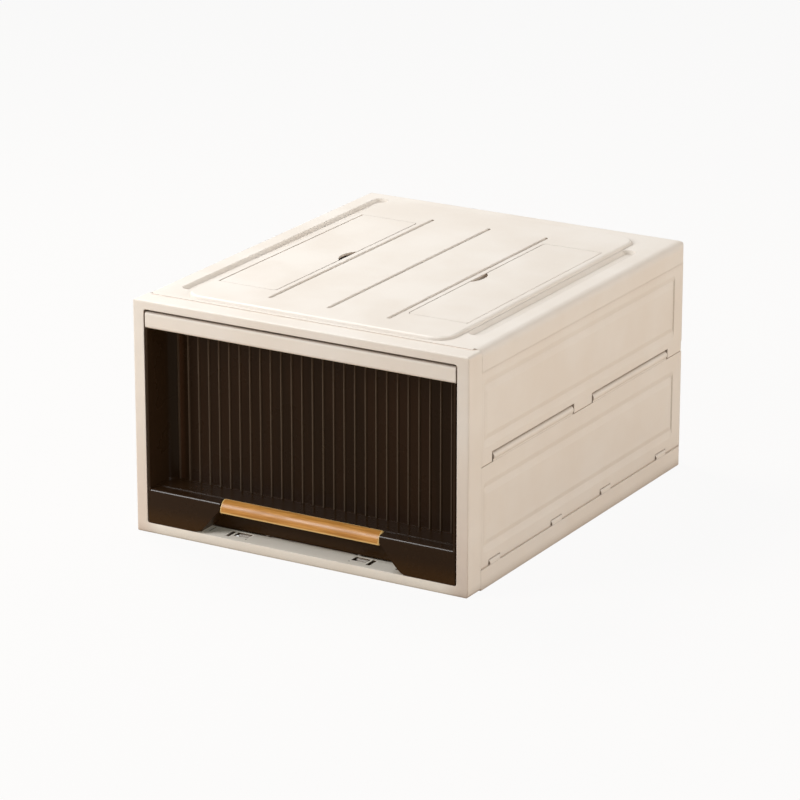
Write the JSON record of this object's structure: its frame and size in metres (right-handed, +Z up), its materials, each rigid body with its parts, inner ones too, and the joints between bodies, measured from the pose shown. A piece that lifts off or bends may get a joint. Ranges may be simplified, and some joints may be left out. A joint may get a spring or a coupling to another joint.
{
  "type": "stackable storage box",
  "caption": "Stackable storage box with a folding panelled shell, a smoked pull-out drawer with a finger scoop and handle strip, and two top flaps.",
  "frame": {"origin": "on the floor under the middle of the box", "axes": "+X to the right seen from the front, +Y to the back, +Z up; the drawer front faces -Y"},
  "size_m": [0.36, 0.432, 0.234],
  "materials": {
    "shell_plastic": "satin moulded plastic",
    "smoke_plastic": "glossy translucent plastic",
    "honey_strip": "satin, wood coloured",
    "pin_steel": "brushed"
  },
  "bodies": {
    "shell": {"base_tray": "shell_plastic", "front_frame": "shell_plastic", "top_panel": "shell_plastic", "back_panel": "shell_plastic", "left_lower_panel": "shell_plastic", "right_lower_panel": "shell_plastic", "left_upper_panel": "shell_plastic", "right_upper_panel": "shell_plastic", "left_mid_hinge_rod": "pin_steel", "right_mid_hinge_rod": "pin_steel", "left_lower_hinge_pins": "pin_steel", "right_lower_hinge_pins": "pin_steel", "left_upper_hinge_pins": "pin_steel", "right_upper_hinge_pins": "pin_steel", "back_hinge_pins": "pin_steel", "frame_pivot_pins": "pin_steel"},
    "drawer": {"drawer_bin": "smoke_plastic", "drawer_top_rail": "shell_plastic", "handle_strip": "honey_strip"},
    "left_flap": {"left_top_flap": "shell_plastic", "left_flap_hinge_pins": "pin_steel"},
    "right_flap": {"right_top_flap": "shell_plastic", "right_flap_hinge_pins": "pin_steel"}
  },
  "joints": [
    {"name": "drawer_slide", "type": "slide", "parent": "shell", "child": "drawer", "axis": [0, -1, 0], "range_m": [0, 0.335]},
    {"name": "left_flap_hinge", "type": "hinge", "parent": "shell", "child": "left_flap", "pos_m": [-0.133, -0.0055, 0.2328], "axis": [0, -1, 0], "range_deg": [0, 95]},
    {"name": "right_flap_hinge", "type": "hinge", "parent": "shell", "child": "right_flap", "pos_m": [0.133, -0.0055, 0.2328], "axis": [0, 1, 0], "range_deg": [0, 95]}
  ]
}
